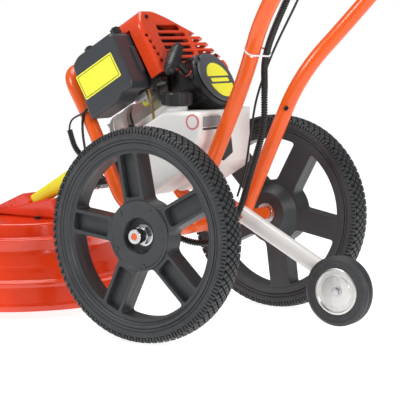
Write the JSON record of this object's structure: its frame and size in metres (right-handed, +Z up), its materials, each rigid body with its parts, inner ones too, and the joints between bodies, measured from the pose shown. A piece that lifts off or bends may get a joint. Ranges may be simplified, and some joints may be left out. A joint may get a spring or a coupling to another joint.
{
  "type": "lawn edger",
  "caption": "Wheeled petrol lawn edger: leaning engine on a tube frame, shaft to a round red deck over a line head, spoked wheels, tail wheel, two handles.",
  "frame": {"origin": "on the ground, under the middle of the machine's outer box", "axes": "+Z up, +Y to the rear towards the operator, +X to the operator's left"},
  "size_m": [0.5606, 1.468, 0.9631],
  "materials": {
    "orange_paint": "gloss",
    "red_paint": "gloss",
    "red_plastic": "satin",
    "charcoal_plastic": "moulded grain",
    "tyre_rubber": "matt",
    "grip_rubber": "matt",
    "black_plastic": "satin",
    "slate_plastic": "satin",
    "white_paint": "gloss",
    "tank_plastic": "translucent satin",
    "cast_aluminium": "as cast",
    "bright_steel": "machined",
    "zinc": "zinc plated",
    "fuel_line": "satin",
    "yellow_nylon": "satin"
  },
  "bodies": {
    "frame": {"axle": "orange_paint", "left_axle_nut": "bright_steel", "right_axle_nut": "bright_steel", "left_handle_tube": "orange_paint", "right_handle_tube": "orange_paint", "left_grip": "grip_rubber", "right_grip": "grip_rubber", "guard_hoop": "orange_paint", "shaft_clamp": "black_plastic", "shaft_tube": "cast_aluminium", "clutch_housing": "cast_aluminium", "crankcase": "cast_aluminium", "cylinder": "cast_aluminium", "piston": "cast_aluminium", "muffler": "bright_steel", "carburettor": "cast_aluminium", "filter_base": "black_plastic", "filter_cover": "slate_plastic", "engine_shroud": "red_plastic", "recoil_housing": "black_plastic", "recoil_cover": "slate_plastic", "fuel_tank": "tank_plastic", "fuel_hose": "fuel_line", "gear_case": "cast_aluminium", "gear_cover": "red_paint", "deck": "red_paint", "line_cutter": "bright_steel", "throttle_housing": "black_plastic", "throttle_conduit": "black_plastic", "stop_wire": "black_plastic", "tail_socket": "orange_paint", "tail_strut": "white_paint", "tail_wheel_bolt": "bright_steel"},
    "left_wheel": {"left_tyre": "tyre_rubber", "left_wheel_rim": "charcoal_plastic", "left_hub_bearing": "bright_steel"},
    "right_wheel": {"right_tyre": "tyre_rubber", "right_wheel_rim": "charcoal_plastic", "right_hub_bearing": "bright_steel"},
    "tail_wheel": {"tail_wheel_hub": "zinc", "tail_wheel_tyre": "tyre_rubber"},
    "cutter_head": {"output_shaft": "bright_steel", "head_housing": "black_plastic", "line_spool": "slate_plastic", "knob_spring": "bright_steel", "cutting_line_a": "yellow_nylon", "cutting_line_b": "yellow_nylon"},
    "knob": {"bump_knob": "black_plastic"},
    "drive": {"drive_shaft": "bright_steel", "clutch_drum": "bright_steel"},
    "crank": {"crankshaft": "bright_steel", "flywheel": "cast_aluminium"},
    "starter_pulley": {"recoil_pulley": "white_paint"},
    "starter_handle": {"recoil_handle": "black_plastic"},
    "trigger": {"throttle_trigger": "red_plastic"},
    "lockout": {"throttle_lockout": "black_plastic"},
    "stop": {"stop_switch": "red_plastic"},
    "choke": {"choke_lever": "black_plastic"},
    "primer": {"primer_bulb": "yellow_nylon"},
    "cap": {"fuel_cap": "black_plastic"}
  },
  "joints": [
    {"name": "left_wheel_spin", "type": "hinge", "parent": "frame", "child": "left_wheel", "pos_m": [0.239, 0.046, 0.203], "axis": [1, 0, 0], "continuous": true},
    {"name": "right_wheel_spin", "type": "hinge", "parent": "frame", "child": "right_wheel", "pos_m": [-0.239, 0.046, 0.203], "axis": [1, 0, 0], "continuous": true},
    {"name": "tail_wheel_spin", "type": "hinge", "parent": "frame", "child": "tail_wheel", "pos_m": [0.037, 0.3485, 0.098], "axis": [1, 0, 0], "continuous": true},
    {"name": "cutter_spin", "type": "hinge", "parent": "frame", "child": "cutter_head", "pos_m": [0, -0.474, 0.06], "axis": [0, 0, 1], "continuous": true},
    {"name": "drive_spin", "type": "hinge", "parent": "frame", "child": "drive", "pos_m": [0, -0.154, 0.3705], "axis": [0, 0.8616, 0.5075], "continuous": true},
    {"name": "crank_spin", "type": "hinge", "parent": "frame", "child": "crank", "pos_m": [0, -0.154, 0.3705], "axis": [0, 0.8616, 0.5075], "continuous": true},
    {"name": "bump_knob_press", "type": "slide", "parent": "cutter_head", "child": "knob", "axis": [0, 0, 1], "range_m": [0, 0.005], "stiffness_N_per_m": 4000, "springref_m": -0.03, "deforming": ["knob_spring"]},
    {"name": "starter_handle_pull", "type": "slide", "parent": "frame", "child": "starter_handle", "axis": [0.6018, -0.4053, 0.6881], "range_m": [0, 0.6], "stiffness_N_per_m": 20, "springref_m": -0.5},
    {"name": "starter_pulley_spin", "type": "hinge", "parent": "frame", "child": "starter_pulley", "pos_m": [0, -0.154, 0.3705], "axis": [0, 0.8616, 0.5075], "range_deg": [0, 970]},
    {"name": "throttle_trigger_squeeze", "type": "hinge", "parent": "frame", "child": "trigger", "pos_m": [0.23569, 0.566, 0.88846], "axis": [0.9867, -0.1623, 0], "range_deg": [0, 8], "stiffness_Nm_per_rad": 0.4, "springref_deg": -17.19},
    {"name": "throttle_lockout_press", "type": "hinge", "parent": "frame", "child": "lockout", "pos_m": [0.23426, 0.55733, 0.92851], "axis": [-0.9867, 0.1623, 0], "range_deg": [0, 5], "stiffness_Nm_per_rad": 0.3, "springref_deg": -17.19},
    {"name": "stop_switch_slide", "type": "slide", "parent": "frame", "child": "stop", "axis": [-0.1585, -0.9638, -0.2142], "range_m": [0, 0.006]},
    {"name": "choke_lever_turn", "type": "hinge", "parent": "frame", "child": "choke", "pos_m": [0.083, -0.03866, 0.4663], "axis": [1, 0, 0], "range_deg": [-60, 0]},
    {"name": "primer_bulb_press", "type": "slide", "parent": "frame", "child": "primer", "axis": [0, -0.5075, 0.8616], "range_m": [0, 0.004], "stiffness_N_per_m": 300, "springref_m": -0.005},
    {"name": "fuel_cap_turn", "type": "hinge", "parent": "frame", "child": "cap", "pos_m": [0.0915, 0.0175, 0.4374], "axis": [0, 0, 1], "range_deg": [0, 540]}
  ],
  "couplings": [
    {"joint": "drive_spin", "follows": "cutter_spin", "ratio": 1.5556},
    {"joint": "starter_pulley_spin", "follows": "starter_handle_pull", "rad_per_m": 28}
  ]
}
